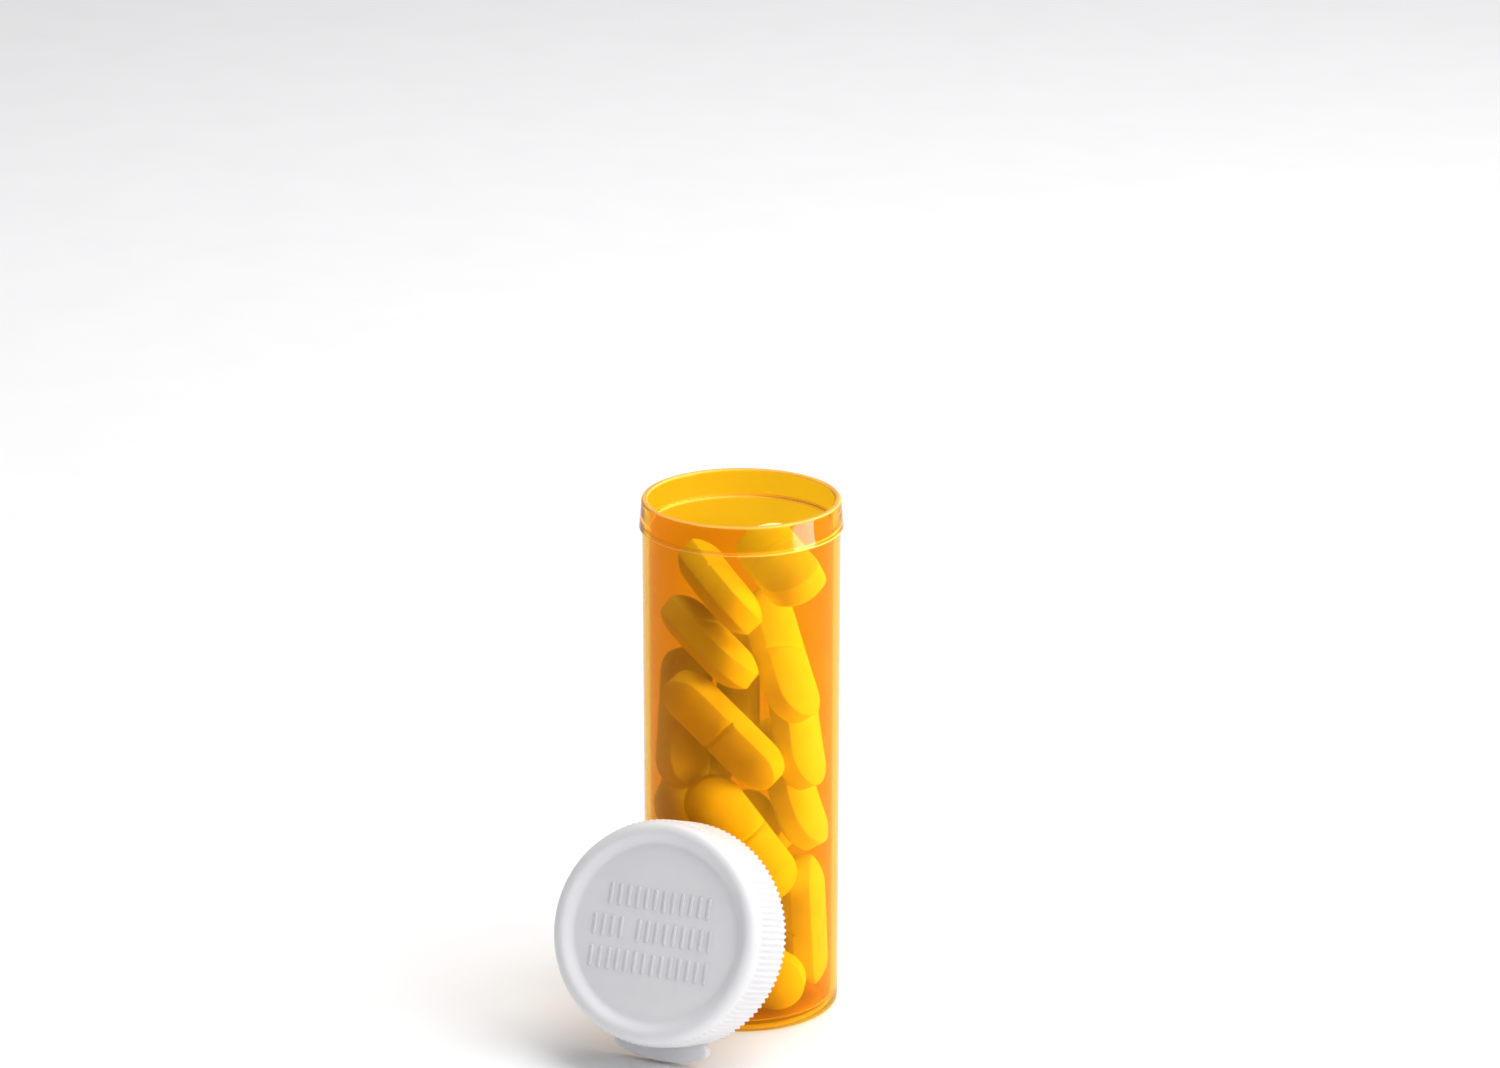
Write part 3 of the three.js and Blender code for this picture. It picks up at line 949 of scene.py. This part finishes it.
def pressed_powder():
    """Matt yellow, speckled by its grains."""
    material, tree = new_material("tablet_powder_pressed")
    place = add_node(tree, "ShaderNodeTexCoord").outputs["Object"]
    grain = add_node(
        tree,
        "ShaderNodeTexNoise",
        {"Vector": place, "Scale": 1 / POWDER_GRAIN, "Detail": 3.0, "Roughness": 0.6},
    )
    patch = add_node(
        tree, "ShaderNodeTexNoise", {"Vector": place, "Scale": 1 / POWDER_PATCH, "Detail": 2.0}
    )
    blend = add_node(
        tree,
        "ShaderNodeMath",
        {0: grain.outputs["Fac"], 1: 0.7, 2: patch.outputs["Fac"]},
        operation="MULTIPLY_ADD",
    )
    tone = add_node(tree, "ShaderNodeValToRGB", {"Fac": blend.outputs["Value"]})
    ramp = tone.color_ramp
    ramp.elements[0].position = 0.55
    ramp.elements[0].color = srgb("#EEE584")
    ramp.elements[1].position = 0.95
    ramp.elements[1].color = srgb("#F8F2A0")
    bump = add_node(
        tree,
        "ShaderNodeBump",
        {"Height": grain.outputs["Fac"], "Distance": PIT_DEPTH, "Strength": 0.5},
    )
    dryness = add_node(
        tree,
        "ShaderNodeMapRange",
        {"Value": patch.outputs["Fac"], "To Min": 0.68, "To Max": 0.84},
    )
    powder = add_node(
        tree,
        "ShaderNodeBsdfPrincipled",
        {
            "Base Color": tone.outputs["Color"],
            "Roughness": dryness.outputs["Result"],
            "Specular IOR Level": 0.25,
            "Normal": bump.outputs["Normal"],
        },
    )
    add_node(tree, "ShaderNodeOutputMaterial", {"Surface": powder.outputs["BSDF"]})
    return material


powder = pressed_powder()
print("material:", powder.name)

# %% [markdown]
# ## The tablets
# Each tablet is an oblong with a straight edge band between two crowned faces, which the punches
# leave with a crisp line where crown and band meet. One face has a score to break it by. The CAD
# tablets are coarse, so each one is measured - its middle and its three principal directions are
# those of its corner points - and a finely modelled tablet of the same size is put exactly there.
# All of them are made from one function, so they are truly alike.

# %% Tablet form
TABLET_BAND_SHARE = 2.8 / 6.6  # of the thickness
EDGE_BREAK = 0.12 * MM
SCORE_WIDTH = 0.9 * MM
SCORE_DEPTH = 0.45 * MM
SCORE_SIDE = Vector((0.3, -1.0, 0.5))  # the score is on the face that looks most this way
END_STEPS = 20
CROWN_RINGS = 12
SCORE_SHARES = (-1.0, -0.6, -0.25, 0.0, 0.25, 0.6, 1.0)


def tablet_outline(length, width):
    """Stations round the oblong: where each starts on the spine, and which way it points."""
    reach = (length - width) / 2
    straight = [share * SCORE_WIDTH / 2 for share in SCORE_SHARES]
    straight = [-reach * 0.6, -reach * 0.25, *straight, reach * 0.25, reach * 0.6]
    right = [(reach, 180 * i / END_STEPS - 90) for i in range(END_STEPS + 1)]
    left = [(-reach, 180 * i / END_STEPS + 90) for i in range(END_STEPS + 1)]
    return right + [(x, 90) for x in reversed(straight)] + left + [(x, 270) for x in straight]


def tablet_section(width, thickness):
    """Half section from the top of the crown to the bottom: share of the half width, and height."""
    band = thickness * TABLET_BAND_SHARE / 2
    crown = thickness / 2 - band
    half = width / 2
    bend = (half * half + crown * crown) / (2 * crown)
    shares = [i / CROWN_RINGS for i in range(CROWN_RINGS)] + [1 - EDGE_BREAK / half]
    top = []
    for share in shares:
        height = math.sqrt(bend * bend - (share * half) ** 2) - (bend - crown) + band
        top.append((share, height))
    shoulder = (1 - 0.3 * EDGE_BREAK / half, band + 0.25 * EDGE_BREAK)
    edge = [shoulder, (1.0, band - 0.6 * EDGE_BREAK)]
    upper = top + edge
    return upper + [(share, -height) for share, height in reversed(upper)]


def tablet_mesh(size):
    """Points and faces of a tablet about the origin: length on X, width on Y, score on top."""
    length, width, thickness = size
    stations = tablet_outline(length, width)
    points = []
    faces = []
    for share, height in tablet_section(width, thickness):
        for spine, degrees in stations:
            angle = math.radians(degrees)
            x = spine + share * width / 2 * math.cos(angle)
            y = share * width / 2 * math.sin(angle)
            score = max(0.0, 1 - abs(x) / (SCORE_WIDTH / 2)) if height > 0 else 0.0
            points.append((x, y, height - SCORE_DEPTH * score))
    count = len(stations)
    for row in range(len(points) // count - 1):
        for i in range(count):
            following = (i + 1) % count
            a, b = row * count, (row + 1) * count
            faces.append((a + i, a + following, b + following, b + i))
    return points, faces


def measured(node):
    """A CAD tablet's place as a matrix, and its length, width and thickness."""
    corners = {tuple(round(c, 6) for c in v.co) for v in frame["nodes"][node].data.vertices}
    cloud = np.array(sorted(corners))
    centre = cloud.mean(0)
    spread, directions = np.linalg.eigh(np.cov((cloud - centre).T))
    along, across, up = (Vector(directions[:, i]) for i in (2, 1, 0))
    if up.dot(SCORE_SIDE) < 0:
        up = -up
    across = up.cross(along)
    size = [float(np.ptp((cloud - centre) @ np.array(d))) for d in (along, across, up)]
    turn = Matrix((along, across, up)).transposed().to_4x4()
    return Matrix.Translation(Vector(centre)) @ turn, size


# %% Put the tablets in place
tablets = []
for node in tablet_nodes:
    place, size = measured(node)
    tablet = mesh_object(node.replace("tablet", "pressed_tablet"), *tablet_mesh(size), powder)
    tablet.data.transform(place)
    tablets.append(tablet)
    hand_over(tablet, "tablets", "tablet_powder", node)
light_only(tablet_box, tablets)
print(f"tablet {size[0] / MM:.1f} x {size[1] / MM:.1f} x {size[2] / MM:.1f} mm")
